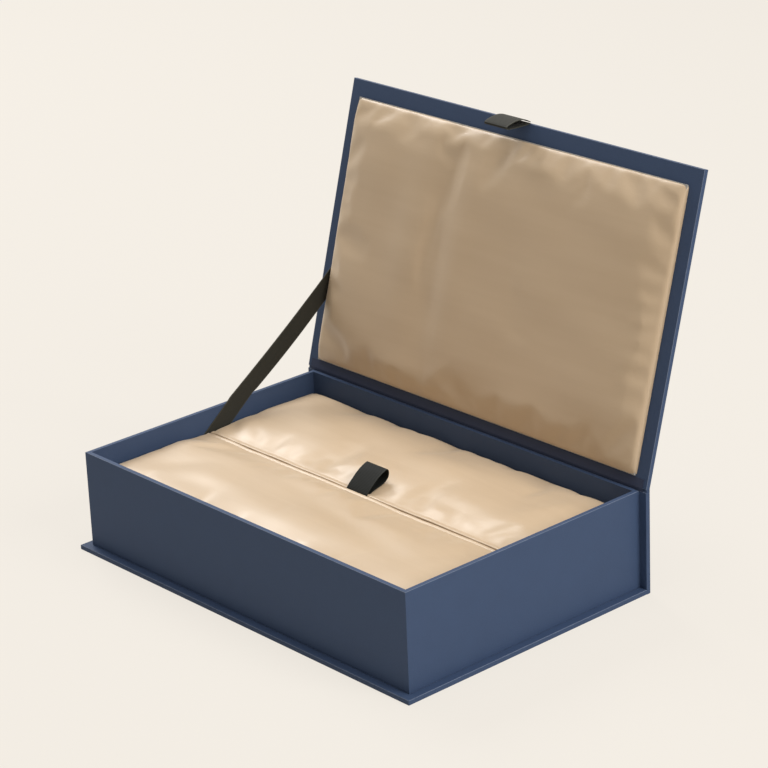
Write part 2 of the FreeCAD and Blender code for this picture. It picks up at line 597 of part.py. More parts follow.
def hinge_papers():
    # The covering paper outside the fold and the lining paper inside it, as strips across the box.
    paper = "sizes.paper"
    outer = [(f"{BACK} - {paper}", RIM), (BACK, RIM), (BACK, FOLD_HEIGHT),
             leaning("0", "sizes.hinge_slot"), leaning(f"-{paper}", "sizes.hinge_slot"),
             (f"{BACK} - {paper}", f"{FOLD_HEIGHT} + {paper} * tan({LEAN} / 2)")]
    strip = outlined("outer_fold", "YZ_Plane", outer, f"-{HALF_WIDTH}", HALF_WIDTH)
    node("hinge_strip", strip)
    pad_foot = f"{CARD_FOOT} - 2 * sizes.satin"
    lid_edge, up_lid = leaning(f"-{SLAB}", "sizes.hinge_slot"), leaning(f"-{SLAB}", pad_foot)
    face_edge = leaning(f"-({SLAB} + {paper})", "sizes.hinge_slot")
    up_face = leaning(f"-({SLAB} + {paper})", pad_foot)
    foot = f"{SPINE_FACE} + {paper} + sizes.lining_foot"
    inner = [(SPINE_FACE, RIM), (foot, RIM), (foot, f"{RIM} + {paper}"),
             (f"{SPINE_FACE} + {paper}", f"{RIM} + {paper}"), lid_edge, up_lid, up_face, face_edge]
    inside = both_ways(f"{HALF_WIDTH} - sizes.side_ledge")
    node("hinge_lining", outlined("inner_fold", "YZ_Plane", inner, *inside))


def lid_tab():
    # A flattened loop that points forward from the lid's edge. The lid's board holds its ends.
    half = size("ribbon") / 2
    root = leaning(f"-{SLAB}", f"{LID_LENGTH} + sizes.ribbon")
    root_y, root_z = (worked_out(place) for place in root)
    reach, rise = size("tab_reach"), size("tab_rise")
    stations = [
        (root_y, root_z, 183),
        (root_y - 0.93 * reach, root_z + 0.08 * rise, 170),
        (root_y - reach + half, root_z + 0.36 * rise, 88),
        (root_y - 0.92 * reach, root_z + 0.66 * rise, 24),
        (root_y - 0.45 * reach, root_z + rise, 0),
        (root_y, root_z + 2 * half + size("ribbon_parting"), -32),
    ]
    ribbon = ribbon_band(smooth_runs(stations), size("tab_width"), 2 * half)
    node("lid_tab", shaped("lid_tab_ribbon", ribbon))


def fault_in(piece):
    if "Invalid" in piece.State or "Error" in piece.State:
        return "was not made"
    if hasattr(piece, "Shape") and piece in nodes.values():
        if piece.Shape.isNull() or not piece.Shape.isValid() or not piece.Shape.Solids:
            return "has no sound shape"
    return None


case_boards()
tray_boards()
tray_papers(corner_tapes())
collar()
insert()
pull_loop()
lid_boards()
lid_pad(*stay())
hinge_papers()
lid_tab()
doc.recompute()

faults = [f"{piece.Label} {fault_in(piece)}" for piece in doc.Objects if fault_in(piece)]
if faults:
    raise RuntimeError("; ".join(faults))

os.makedirs("parts", exist_ok=True)
for name, piece in nodes.items():
    piece.Shape.exportStep(os.path.join("parts", name + ".step"))
print(f"{len(nodes)} parts written")
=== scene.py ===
import bpy
import json
import math
import random
from mathutils import Matrix, Vector
from mathutils.bvhtree import BVHTree


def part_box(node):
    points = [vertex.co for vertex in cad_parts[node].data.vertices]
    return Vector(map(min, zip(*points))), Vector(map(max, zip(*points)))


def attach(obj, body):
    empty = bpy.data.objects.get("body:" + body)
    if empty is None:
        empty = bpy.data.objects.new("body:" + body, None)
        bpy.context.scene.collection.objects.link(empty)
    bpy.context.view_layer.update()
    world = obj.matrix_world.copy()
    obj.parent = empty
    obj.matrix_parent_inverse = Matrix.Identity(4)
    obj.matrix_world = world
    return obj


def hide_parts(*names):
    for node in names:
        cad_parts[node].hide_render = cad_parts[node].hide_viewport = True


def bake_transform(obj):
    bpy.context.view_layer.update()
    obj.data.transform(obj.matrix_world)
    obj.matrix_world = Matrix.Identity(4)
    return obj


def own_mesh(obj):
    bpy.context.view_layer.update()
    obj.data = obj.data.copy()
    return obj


# Rigid gift box, shown open: navy papered case and tray, champagne satin pads, three ribbons.
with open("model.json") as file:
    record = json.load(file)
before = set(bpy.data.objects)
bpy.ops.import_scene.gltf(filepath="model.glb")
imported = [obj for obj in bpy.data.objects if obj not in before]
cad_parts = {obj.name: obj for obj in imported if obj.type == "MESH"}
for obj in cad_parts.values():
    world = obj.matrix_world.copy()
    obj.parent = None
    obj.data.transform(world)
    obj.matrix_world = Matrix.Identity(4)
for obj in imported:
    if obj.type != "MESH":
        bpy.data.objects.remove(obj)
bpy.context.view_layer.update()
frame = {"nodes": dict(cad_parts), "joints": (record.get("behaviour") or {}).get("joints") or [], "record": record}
nodes = frame["nodes"]
mm = 0.001
bpy.ops.object.select_all(action="DESELECT")
lidHinge = next(joint for joint in frame["joints"] if joint["name"] == "lid_hinge")
# How far the open lid leans back from upright.
openLean = math.radians(lidHinge["range_deg"][1] - 90)
# Turns a place on the lid, as x, up along the lid and off its inner side, into the box's own frame.
lidTurn = Matrix((
    (1, 0, 0, 0),
    (0, math.sin(openLean), -math.cos(openLean), 0),
    (0, math.cos(openLean), math.sin(openLean), 0),
    (0, 0, 0, 1)))


def turnedBox(node, turn):
    back = turn.inverted()
    places = [back @ v.co for v in nodes[node].data.vertices]
    return (Vector([min(p[i] for p in places) for i in range(3)]),
            Vector([max(p[i] for p in places) for i in range(3)]))


# The same, with places measured from the lid's lower edge, at the middle of its outer side.
lidFoot = turnedBox("lid_wrap", lidTurn)[0]
onLid = lidTurn @ Matrix.Translation((0, lidFoot.y, lidFoot.z))


# Camera and stage

shot = {
    "place": (1.0157, -0.8741, 0.6323),
    "turn": 48.565,
    "tilt": -21.641,
    "roll": -2.434,
    "lens": 137.27,
    "sensor": 36,
    "paleColor": (0.913, 0.863, 0.791),
    "paleShare": 0.85,
    "paleStrength": 0.99,
    "floorColor": (0.72, 0.68, 0.62),
    "floorSize": 9,
    "worldColor": (1, 0.955, 0.885),
    "worldStrength": 0.26,
}
lights = {
    # name: place, aim, size, power
    "left": ((-1.4, 0.32, 1.3), (0, 0, 0.06), 0.9, 21),
    "right": ((1.6, 0.3, 1.1), (0, 0, 0.04), 1.0, 25),
    "top": ((0.1, 0.1, 1.9), (0, 0, 0), 1.2, 12.5),
}


def makeCamera():
    camera = bpy.data.objects.new("camera", bpy.data.cameras.new("camera"))
    bpy.context.scene.collection.objects.link(camera)
    camera.matrix_world = (Matrix.Translation(shot["place"])
                           @ Matrix.Rotation(math.radians(shot["turn"]), 4, "Z")
                           @ Matrix.Rotation(math.radians(90 + shot["tilt"]), 4, "X")
                           @ Matrix.Rotation(math.radians(shot["roll"]), 4, "Z"))
    camera.data.lens = shot["lens"]
    camera.data.sensor_width = shot["sensor"]
    bpy.context.scene.camera = camera


def seenRays(tree):
    # 1 for rays that show the background: to the camera, or by way of gloss or clear material.
    path = addNode(tree, "LightPath").outputs
    shown = maths(tree, "MAXIMUM", path["Is Camera Ray"], path["Is Glossy Ray"])
    return maths(tree, "MAXIMUM", shown, path["Is Transmission Ray"])


def makeLights():
    for name, (place, aim, size, power) in lights.items():
        lamp = bpy.data.objects.new(name, bpy.data.lights.new(name, "AREA"))
        bpy.context.scene.collection.objects.link(lamp)
        lamp.data.size = size
        lamp.data.energy = power
        lamp.location = place
        lamp.rotation_euler = (Vector(aim) - Vector(place)).to_track_quat("-Z", "Y").to_euler()
    world = bpy.data.worlds.new("studio")
    bpy.context.scene.world = world
    world.use_nodes = True
    tree = world.node_tree
    around = feed(tree, tree.nodes["Background"], Color=(*shot["worldColor"], 1),
                  Strength=shot["worldStrength"])
    seen = addNode(tree, "Background", Color=(*shot["paleColor"], 1), Strength=1.0)
    shown = mixShaders(tree, seenRays(tree), around.outputs[0], seen.outputs[0])
    tree.links.new(shown, tree.nodes["World Output"].inputs["Surface"])
    bpy.context.scene.view_settings.view_transform = "Standard"


def makeStage():
    # A matt floor that is lit like any other, and seen nearly as the plain pale background.
    bpy.ops.object.select_all(action="DESELECT")
    bpy.ops.mesh.primitive_plane_add(size=shot["floorSize"])
    floor = rename(bpy.context.object, "floor")
    material, tree, surface = newMaterial("floorPaper")
    feed(tree, surface, Base_Color=(*shot["floorColor"], 1), Roughness=1.0, Specular_IOR_Level=0.0)
    glow = addNode(tree, "Emission", Color=(*shot["paleColor"], 1), Strength=shot["paleStrength"])
    share = maths(tree, "MULTIPLY", seenRays(tree), shot["paleShare"])
    shown = mixShaders(tree, share, surface.outputs[0], glow.outputs[0])
    tree.links.new(shown, tree.nodes["Material Output"].inputs["Surface"])
    floor.data.materials.append(material)
    print("camera, lights and floor set")


# Materials

def newMaterial(name):
    material = bpy.data.materials.new(name)
    material.use_nodes = True
    return material, material.node_tree, material.node_tree.nodes["Principled BSDF"]


def plug(tree, socket, value):
    if isinstance(value, bpy.types.NodeSocket):
        tree.links.new(value, socket)
    else:
        socket.default_value = value


def feed(tree, made, **inputs):
    for name, value in inputs.items():
        plug(tree, made.inputs[name.replace("_", " ")], value)
    return made


def addNode(tree, kind, **inputs):
    return feed(tree, tree.nodes.new("ShaderNode" + kind), **inputs)


def newGroup(name, inputs, outputs):
    group = bpy.data.node_groups.new(name, "ShaderNodeTree")
    for label, kind, value in inputs:
        socket = group.interface.new_socket(label, in_out="INPUT", socket_type="NodeSocket" + kind)
        if value is not None:
            socket.default_value = value
    for label, kind in outputs:
        group.interface.new_socket(label, in_out="OUTPUT", socket_type="NodeSocket" + kind)
    return group, group.nodes.new("NodeGroupInput").outputs, group.nodes.new("NodeGroupOutput").inputs


def placeGroup(tree, group, **inputs):
    made = tree.nodes.new("ShaderNodeGroup")
    made.node_tree = group
    return feed(tree, made, **inputs).outputs


def maths(tree, operation, *values):
    made = tree.nodes.new("ShaderNodeMath")
    made.operation = operation
    for socket, value in zip(made.inputs, values):
        plug(tree, socket, value)
    return made.outputs[0]


def mixColors(tree, share, first, second):
    # The node's sockets for colours are 6 and 7, and output 2.
    made = tree.nodes.new("ShaderNodeMix")
    made.data_type = "RGBA"
    for i, value in ((0, share), (6, first), (7, second)):
        plug(tree, made.inputs[i], value)
    return made.outputs[2]


def mixShaders(tree, share, first, second):
    made = tree.nodes.new("ShaderNodeMixShader")
    for socket, value in zip(made.inputs, (share, first, second)):
        plug(tree, socket, value)
    return made.outputs[0]


def addBump(tree, surface, look, height):
    bump = addNode(tree, "Bump", Strength=look["bump"], Distance=look["depth"], Height=height)
    tree.links.new(bump.outputs[0], surface.inputs["Normal"])


grainLook = {
    "size": 900.0,
    # sizes beside the fine grain's, and shares in the height and the mask
    "cloudSize": 0.06,
    "pitSize": 0.7,
    "pitShare": 0.6,
    "fineShare": 0.6,
    "cloudShare": 0.4,
}


def groupPaperGrain():
    inputs = [("Place", "Vector", None), ("Size", "Float", grainLook["size"])]
    group, given, result = newGroup("paperGrain", inputs, [("Mask", "Float"), ("Height", "Float")])
    place, size = given["Place"], given["Size"]
    fine = addNode(group, "TexNoise", Vector=place, Scale=size, Detail=4.0, Roughness=0.6)
    cloudy = addNode(group, "TexNoise", Vector=place, Detail=3.0,
                     Scale=maths(group, "MULTIPLY", size, grainLook["cloudSize"]))
    pits = addNode(group, "TexVoronoi", Vector=place,
                   Scale=maths(group, "MULTIPLY", size, grainLook["pitSize"]))
    height = maths(group, "ADD", fine.outputs[0],
                   maths(group, "MULTIPLY", pits.outputs[0], grainLook["pitShare"]))
    mask = maths(group, "ADD", maths(group, "MULTIPLY", fine.outputs[0], grainLook["fineShare"]),
                 maths(group, "MULTIPLY", cloudy.outputs[0], grainLook["cloudShare"]))
    group.links.new(mask, result["Mask"])
    group.links.new(height, result["Height"])
    return group


wearAndHighlightLook = {
    # how square to an axis a surface faces where the rubbed wear and painted edge highlight begin, and where they
    # are full
    "begins": 0.998,
    "full": 0.9,
    "patchSize": 220.0,
    "patchShare": 0.7,
    "least": 0.3,
}


def groupEdgeWearAndHighlight():
    # Picks out the rounded edges of boards that lie square to the box, or lean back with the lid, where rubbed
    # wear and a painted highlight are laid.
    inputs = [("Place", "Vector", None), ("Facing", "Vector", None), ("Lean", "Float", 0.0)]
    group, given, result = newGroup("edgeWearAndHighlight", inputs, [("Mask", "Float")])
    upright = group.nodes.new("ShaderNodeVectorRotate")
    upright.rotation_type = "X_AXIS"
    feed(group, upright, Vector=given["Facing"], Angle=given["Lean"])
    facing = addNode(group, "SeparateXYZ", Vector=upright.outputs[0]).outputs
    across, along, up = (maths(group, "ABSOLUTE", facing[i]) for i in range(3))
    square = maths(group, "MAXIMUM", maths(group, "MAXIMUM", across, along), up)
    # Its sockets are the value, its range, and what that range becomes.
    corner = group.nodes.new("ShaderNodeMapRange")
    for socket, value in zip(corner.inputs, (square, wearAndHighlightLook["begins"], wearAndHighlightLook["full"], 0.0, 1.0)):
        plug(group, socket, value)
    patchy = addNode(group, "TexNoise", Vector=given["Place"], Scale=wearAndHighlightLook["patchSize"], Detail=3.0)
    share = maths(group, "ADD", maths(group, "MULTIPLY", patchy.outputs[0], wearAndHighlightLook["patchShare"]),
                  wearAndHighlightLook["least"])
    group.links.new(maths(group, "MULTIPLY", corner.outputs[0], share), result["Mask"])
    return group


paperGrain = groupPaperGrain()
edgeWearAndHighlight = groupEdgeWearAndHighlight()
# Sizes of grain, flecks, threads and fluff are noise scales, and depths are in metres.
# Each paper's lighter edge colour is partly rubbed wear and partly a painted highlight.
coverPaper = {
    "color": (0.044, 0.071, 0.137),
    "wornAndHighlight": (0.18, 0.21, 0.28),
    "roughness": 0.6,
    "grain": 1500.0,
    "depth": 0.00006,
}
liningPaper = {
    "color": (0.033, 0.044, 0.083),
    "wornAndHighlight": (0.06, 0.07, 0.12),
    "roughness": 0.7,
    "grain": 1900.0,
    "depth": 0.00003,
}
tapePaper = {
    "color": (0.48, 0.34, 0.2),
    "wornAndHighlight": (0.6, 0.46, 0.3),
    "roughness": 0.7,
    "grain": 900.0,
    "depth": 0.00005,
}
paperLook = {
    "deepTone": 0.86,
    "paleTone": 1.16,
    "roughnessSpread": 0.12,
    "specular": 0.2,
    "bump": 0.5,
}


def paperMaterial(name, look, lean=0.0):
    # An uncoated paper: fine grain, a cloudy tone, and edges painted lighter, partly as rubbed wear and partly as
    # a painted highlight.
    look = {**paperLook, **look}
    material, tree, surface = newMaterial(name)
    given = addNode(tree, "TexCoord").outputs
    place = given["Object"]
    grain = placeGroup(tree, paperGrain, Place=place, Size=look["grain"])
    wearAndHighlight = placeGroup(tree, edgeWearAndHighlight, Place=place, Facing=given["Normal"], Lean=lean)
    deep = [part * look["deepTone"] for part in look["color"]] + [1]
    pale = [part * look["paleTone"] for part in look["color"]] + [1]
    tone = mixColors(tree, grain["Mask"], deep, pale)
    spread = maths(tree, "MULTIPLY", grain["Mask"], look["roughnessSpread"])
    # The edges get the lighter colour: rubbed wear plus a painted highlight.
    feed(tree, surface, Base_Color=mixColors(tree, wearAndHighlight["Mask"], tone, [*look["wornAndHighlight"], 1]),
         Roughness=maths(tree, "ADD", spread, look["roughness"] - look["roughnessSpread"] / 2),
         Specular_IOR_Level=look["specular"])
    addBump(tree, surface, look, grain["Height"])
    return material


boardLook = {
    "deep": (0.3, 0.28, 0.26),
    "pale": (0.47, 0.45, 0.42),
    "fleck": (0.36, 0.34, 0.31),
    "grain": 500.0,
    "flecks": 1400.0,
    "roughness": 0.9,
    "bump": 0.5,
    "depth": 0.00012,
}


def boardMaterial():
    material, tree, surface = newMaterial("greyboard")
    place = addNode(tree, "TexCoord").outputs["Object"]
    grain = placeGroup(tree, paperGrain, Place=place, Size=boardLook["grain"])
    flecks = addNode(tree, "TexNoise", Vector=place, Scale=boardLook["flecks"], Detail=2.0)
    tone = mixColors(tree, grain["Mask"], (*boardLook["deep"], 1), (*boardLook["pale"], 1))
    feed(tree, surface, Base_Color=mixColors(tree, flecks.outputs[0], tone, (*boardLook["fleck"], 1)),
         Roughness=boardLook["roughness"])
    addBump(tree, surface, boardLook, grain["Height"])
    return material


satinLook = {
    "color": (0.61, 0.465, 0.315),
    "shade": (0.52, 0.38, 0.24),
    "roughness": 0.36,
    "roughnessSpread": 0.16,
    "specular": 0.5,
    "sheen": 0.25,
    "sheenRoughness": 0.4,
    "sheenTint": (1, 0.96, 0.86),
    "stretch": (0.06, 1, 1),
    "threads": 1500.0,
    "slubs": 200.0,
    "clouds": 14.0,
    "bump": 0.35,
    "depth": 0.00005,
}


def satinMaterial():
    # Satin: long glossy floats one way, with faint unevenness in the threads and the tone.
    material, tree, surface = newMaterial("satin")
    place = addNode(tree, "TexCoord").outputs["Object"]
    stretched = addNode(tree, "Mapping", Vector=place, Scale=satinLook["stretch"]).outputs[0]
    threads = addNode(tree, "TexNoise", Vector=stretched, Scale=satinLook["threads"], Detail=2.0)
    slubs = addNode(tree, "TexNoise", Vector=stretched, Scale=satinLook["slubs"], Detail=3.0)
    cloudy = addNode(tree, "TexNoise", Vector=place, Scale=satinLook["clouds"], Detail=2.0)
    share = maths(tree, "ADD", maths(tree, "MULTIPLY", slubs.outputs[0], 0.5),
                  maths(tree, "MULTIPLY", cloudy.outputs[0], 0.5))
    spread = maths(tree, "MULTIPLY", threads.outputs[0], satinLook["roughnessSpread"])
    tone = mixColors(tree, share, [*satinLook["shade"], 1], [*satinLook["color"], 1])
    feed(tree, surface, Base_Color=tone,
         Roughness=maths(tree, "ADD", spread, satinLook["roughness"] - satinLook["roughnessSpread"] / 2),
         Sheen_Weight=satinLook["sheen"], Sheen_Roughness=satinLook["sheenRoughness"],
         Sheen_Tint=(*satinLook["sheenTint"], 1), Specular_IOR_Level=satinLook["specular"])
    addBump(tree, surface, satinLook, threads.outputs[0])
    return material


# Rib pitches are in millimetres along the ribbon.
stayWeave = {
    "color": (0.048, 0.047, 0.038),
    "edge": (0.058, 0.057, 0.047),
    "pitch": 0.5,
    "depth": 0.00006,
    "roughness": 0.6,
}
tabWeave = {
    "color": (0.036, 0.036, 0.029),
    "edge": (0.046, 0.046, 0.037),
    "pitch": 0.7,
    "depth": 0.0001,
    "roughness": 0.6,
}
loopWeave = {
    "color": (0.009, 0.0105, 0.009),
    "edge": (0.014, 0.016, 0.0135),
    "pitch": 0.7,
    "depth": 0.0001,
    "roughness": 0.6,
}
ribbonLook = {
    "deepTone": 0.6,
    "fibres": 5.0,
    "selvedgeFrom": 0.91,
    "selvedgeRise": 1.1,
    "sheen": 0.03,
    "sheenRoughness": 0.5,
    "specular": 0.12,
    "bump": 0.8,
}


def ribbonMaterial(name, look):
    # Grosgrain: ribs across the ribbon and a firm woven edge, placed by the ribbon's own map.
    look = {**ribbonLook, **look}
    material, tree, surface = newMaterial(name)
    mapped = addNode(tree, "TexCoord").outputs["UV"]
    along, across = addNode(tree, "SeparateXYZ", Vector=mapped).outputs[:2]
    wave = maths(tree, "SINE", maths(tree, "MULTIPLY", along, 2 * math.pi / look["pitch"]))
    rib = maths(tree, "ADD", maths(tree, "MULTIPLY", wave, 0.5), 0.5)
    selvedge = maths(tree, "GREATER_THAN", maths(tree, "ABSOLUTE", across), look["selvedgeFrom"])
    fibres = addNode(tree, "TexNoise", Vector=mapped, Scale=look["fibres"], Detail=4.0)
    deep = [part * look["deepTone"] for part in look["color"]] + [1]
    tone = mixColors(tree, maths(tree, "MULTIPLY", rib, fibres.outputs[0]), deep, [*look["color"], 1])
    feed(tree, surface, Base_Color=mixColors(tree, selvedge, tone, [*look["edge"], 1]),
         Roughness=look["roughness"], Sheen_Weight=look["sheen"], Sheen_Roughness=look["sheenRoughness"],
         Specular_IOR_Level=look["specular"])
    raised = maths(tree, "MULTIPLY", selvedge, look["selvedgeRise"])
    addBump(tree, surface, look, maths(tree, "MAXIMUM", rib, raised))
    return material


waddingLook = {
    "deep": (0.7, 0.69, 0.66),
    "pale": (0.9, 0.89, 0.86),
    "fluff": 220.0,
    "fluffRoughness": 0.7,
    "roughness": 0.95,
    "bump": 0.8,
    "depth": 0.0008,
}


def waddingMaterial():
    material, tree, surface = newMaterial("wadding")
    place = addNode(tree, "TexCoord").outputs["Object"]
    fluff = addNode(tree, "TexNoise", Vector=place, Scale=waddingLook["fluff"], Detail=6.0,
                    Roughness=waddingLook["fluffRoughness"]).outputs[0]
    feed(tree, surface, Roughness=waddingLook["roughness"],
         Base_Color=mixColors(tree, fluff, (*waddingLook["deep"], 1), (*waddingLook["pale"], 1)))
    addBump(tree, surface, waddingLook, fluff)
    return material


finishes = {
    "greyboard": boardMaterial(),
    "covering_paper": paperMaterial("coveringPaper", coverPaper),
    "lining_paper": paperMaterial("liningPaper", liningPaper),
    "paper_tape": paperMaterial("paperTape", tapePaper),
    "satin": satinMaterial(),
    "wadding": waddingMaterial(),
    "stay_ribbon": ribbonMaterial("stayRibbon", stayWeave),
    "tab_ribbon": ribbonMaterial("tabRibbon", tabWeave),
    "loop_ribbon": ribbonMaterial("loopRibbon", loopWeave),
}
# The lid's paper knows how far the open lid leans, so that its edge wear and painted highlight find the lid's own
# edges.
lidPaper = paperMaterial("lidPaper", coverPaper, lean=openLean)
smoothAngle = math.radians(60)
slotOf = {part["node"]: part["material_slot"] for part in frame["record"]["subparts"]}


def dressNodes():
    for name, piece in nodes.items():
        piece.data.materials.clear()
        piece.data.materials.append(lidPaper if name == "lid_wrap" else finishes[slotOf[name]])
    print("papered", len(nodes), "nodes")


def dress(piece, slot, body=None):
    piece.data.materials.clear()
    piece.data.materials.append(finishes[slot])
    if body:
        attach(piece, body)


def rename(piece, name):
    piece.name = name
    piece.data.name = name
    return piece


def addGrid(name, columns, rows):
    bpy.ops.object.select_all(action="DESELECT")
    bpy.ops.mesh.primitive_grid_add(x_subdivisions=columns, y_subdivisions=rows, size=2)
    return rename(bpy.context.object, name)


def active(piece):
    bpy.ops.object.select_all(action="DESELECT")
    piece.select_set(True)
    bpy.context.view_layer.objects.active = piece


def applyAll(piece):
    active(piece)
    for modifier in list(piece.modifiers):
        bpy.ops.object.modifier_apply(modifier=modifier.name)


# Satin pads

insertPads = {
    "corner": 3.4 * mm,
    "shoulder": 7.25 * mm,
    "crown": 2.2 * mm,
    "crownRun": 26 * mm,
    # side: run and drop of the rolled edge in millimetres, and how much the run varies along it
    "rolls": {
        "left": (2.8, 2.4, 0.2),
        "right": (2.8, 2.4, 0.2),
        "front": (2.8, 2.4, 0.2),
        "rear": (2.8, 2.4, 0.3),
    },
    "seamRoll": (0.8, 0.6, 0),
    "seamSink": 1.0 * mm,
    "proud": 0.2 * mm,
    "sideDraw": 0.2 * mm,
    "board": 1.85 * mm,
    "turnIn": 10 * mm,
    "satin": 0.35 * mm,
    "pucker": 0.1 * mm,
    "swell": 0.38 * mm,
    "fill": 0.55,
    "voxel": 1.6 * mm,
    "pressure": 0.45,
    "slack": 0.008,
    "bending": 4.0,
    "cap": 0.9 * mm,
    "seamHold": 5.0 * mm,
}
lidPad = {
    "corner": 1.6 * mm,
    "shoulder": 3.3 * mm,
    "crown": 3.2 * mm,
    "crownRun": 34 * mm,
    "rolls": {
        "left": (2.6, 1.5, 0.2),
        "right": (3.0, 1.5, 0.4),
        "front": (9.5, 1.7, 0.3),
        "rear": (11.0, 1.7, 0.35),
    },
    "proud": 0.5 * mm,
    "sideDraw": 0.2 * mm,
    "board": 1.35 * mm,
    "turnIn": 10 * mm,
    "satin": 0.35 * mm,
    "pucker": 0.07 * mm,
    "swell": 0.35 * mm,
    "fill": 0.5,
    "voxel": 1.7 * mm,
    "pressure": 0.5,
    "slack": 0.009,
    "bending": 4.0,
    "cap": 1.2 * mm,
    "seamHold": 0,
}
padSeeds = {"front": 11, "rear": 23, "lid": 5}
# Soft folds that the hand can see: x, y from the pad's middle, heading, length, width, height,
# in millimetres and degrees. A height under 0 is a hollow.
frontFolds = [
    (-14, 26, 8, 30, 8, 1.2), (8, 10, -12, 55, 8, -1.5), (-5, -10, -6, 60, 11, 1.1),
    (-70, 18, 20, 26, 9, 0.8), (-88, -6, 40, 22, 8, -0.7), (-60, -16, 10, 30, 8, -0.6),
    (62, 22, -18, 30, 8, -0.8), (70, 6, -10, 34, 9, 0.9), (50, -20, 5, 40, 8, -0.6),
    (95, 14, 60, 18, 6, -0.6), (-100, 22, 70, 16, 7, 0.6), (20, 30, 0, 14, 5, 0.5),
]
rearFolds = [
    (-34, -12, 60, 18, 12, -1.0), (-14, -22, 35, 14, 6, 0.9), (-70, 10, 25, 34, 12, 0.5),
    (-60, 28, 5, 28, 7, -0.7), (20, 8, 10, 40, 12, 0.7), (8, 24, 0, 20, 6, -0.8),
    (34, 26, -8, 18, 6, 0.7), (64, -2, -15, 34, 12, 0.6), (58, -24, -8, 26, 6, -0.8),
    (92, 4, 65, 22, 8, 0.7), (80, -22, 20, 20, 6, 0.5), (-94, -14, 70, 20, 8, -0.5),
    (62, 30, -5, 14, 5, -0.6), (86, 28, 5, 12, 6, 0.6),
]
lidFolds = [
    (-1, 63, 90, 8, 6, -1.8), (-38, 14, 92, 60, 8, -2.0), (-58, 0, 90, 60, 11, 1.3),
    (-20, 6, 88, 55, 9, 1.3), (-82, -6, 84, 45, 12, -0.4), (30, 0, 96, 50, 16, -0.3),
    (-88, 62, 6, 16, 5, 0.8), (-62, 60, -4, 18, 5, -0.6), (-36, 62, 8, 15, 5, 0.8),
    (24, 62, -10, 16, 5, 0.8), (52, 60, 4, 18, 5, -0.5), (82, 61, -6, 18, 6, 0.9),
    (-52, -60, 4, 26, 6, 0.7), (-22, -56, 40, 10, 4, 0.9), (-6, -62, -25, 12, 4, -0.7),
    (26, -60, 8, 26, 6, 0.7), (72, -62, -4, 26, 6, 0.5), (108, 22, 8, 8, 3, 0.5),
    (109, 12, -6, 7, 3, 0.6), (108, 2, 6, 8, 3, 0.6), (109, -8, -4, 7, 3, 0.6),
    (108, -18, 8, 8, 3, 0.6), (109, -29, -8, 7, 3, 0.5), (-108, 20, 80, 30, 6, 0.3),
]
cloth = {
    "scale": 4,
    "frames": 20,
    "quality": 4,
    "edgeShare": 0.6,
    "cell": 2.4 * mm,
    "calmings": 3,
    "calmFactor": 0.5,
    "dice": 6,
}
# How the satin varies: wave lengths, how far in from the edges each form reaches, and shares.
waves = {
    "rolls": (13 * mm, 31 * mm),
    "broadRoll": 4 * mm,
    "puckers": ((3.6 * mm, 1), (6.1 * mm, 0.8), (2.3 * mm, 0.6)),
    "puckerRise": 1.5 * mm,
    "puckerReach": 6 * mm,
    "swells": (15 * mm, 12 * mm, 9 * mm, 19 * mm),
    "swellShare": 0.7,
    "swellRise": 12 * mm,
    "foldRise": 3 * mm,
}


def rolledEdge(inside, along, roll, phase):
    run, drop, unevenness = roll
    short, long = waves["rolls"]
    run *= mm * (1 + unevenness * math.sin(along / short + phase) * math.sin(along / long - phase))
    if inside >= run:
        return 0.0
    # A narrow roll is round and a broad one is a soft slope.
    slope = (1 - max(inside, 0) / run) ** 2
    return -drop * mm * (slope if run > waves["broadRoll"] else 1 - math.sqrt(1 - slope))


def padTop(look, x, y, half, seamSide, dice):
    # Height over the pad's foot: a shoulder, rolled edges and a crown that dies out at the edges.
    height, crown = look["shoulder"], look["crown"]
    sides = (("left", half.x + x, y), ("right", half.x - x, y),
             ("front", half.y + y, x), ("rear", half.y - y, x))
    for (side, inside, along), phase in zip(sides, dice):
        rise = min(max(inside, 0) / look["crownRun"], 1)
        if side == seamSide:
            height += rolledEdge(inside, along, look["seamRoll"], phase)
            height -= look["seamSink"] * (1 - rise) ** 2
            crown *= rise * rise * (3 - 2 * rise)
        else:
            height += rolledEdge(inside, along, look["rolls"][side], phase)
            crown *= 1 - (1 - rise) ** 2
    return height + crown


def softFolds(look, x, y, half, dice):
    # Puckers that start at the edges and die out inside, and broad swells all over.
    insideX, insideY = half.x - abs(x), half.y - abs(y)
    height = 0.0
    for inside, along, phase in ((insideY, x, dice[0] if y > 0 else dice[1]),
                                 (insideX, y, dice[2] if x > 0 else dice[3])):
        fade = math.exp(-inside / waves["puckerReach"]) * (1 - math.exp(-inside / waves["puckerRise"]))
        ripple = 0.0
        for i, (length, share) in enumerate(waves["puckers"], 1):
            ripple += share * math.sin(along / length + i * phase)
        height += look["pucker"] * fade * ripple
    wide, deep, cross, far = waves["swells"]
    swell = (math.sin(x / wide + dice[4]) * math.cos(y / deep + dice[5])
             + waves["swellShare"] * math.sin((x + y) / cross + dice[0])
             * math.cos((x - 2 * y) / far + dice[1]))
    calm = min(1, min(insideX, insideY) / waves["swellRise"])
    return height + look["swell"] * swell * calm


def foldHeight(folds, x, y):
    height = 0.0
    for placeX, placeY, heading, length, width, rise in folds:
        turn = math.radians(heading)
        offX, offY = x / mm - placeX, y / mm - placeY
        along = (offX * math.cos(turn) + offY * math.sin(turn)) / length
        across = (offY * math.cos(turn) - offX * math.sin(turn)) / width
        height += rise * mm * math.exp(-along * along - across * across)
    return height


def evenedOut(share):
    # Spreads the grid's lines so that they lie closer towards the pad's edges.
    return (1 - cloth["edgeShare"]) * share + cloth["edgeShare"] * math.sin(math.pi / 2 * share)


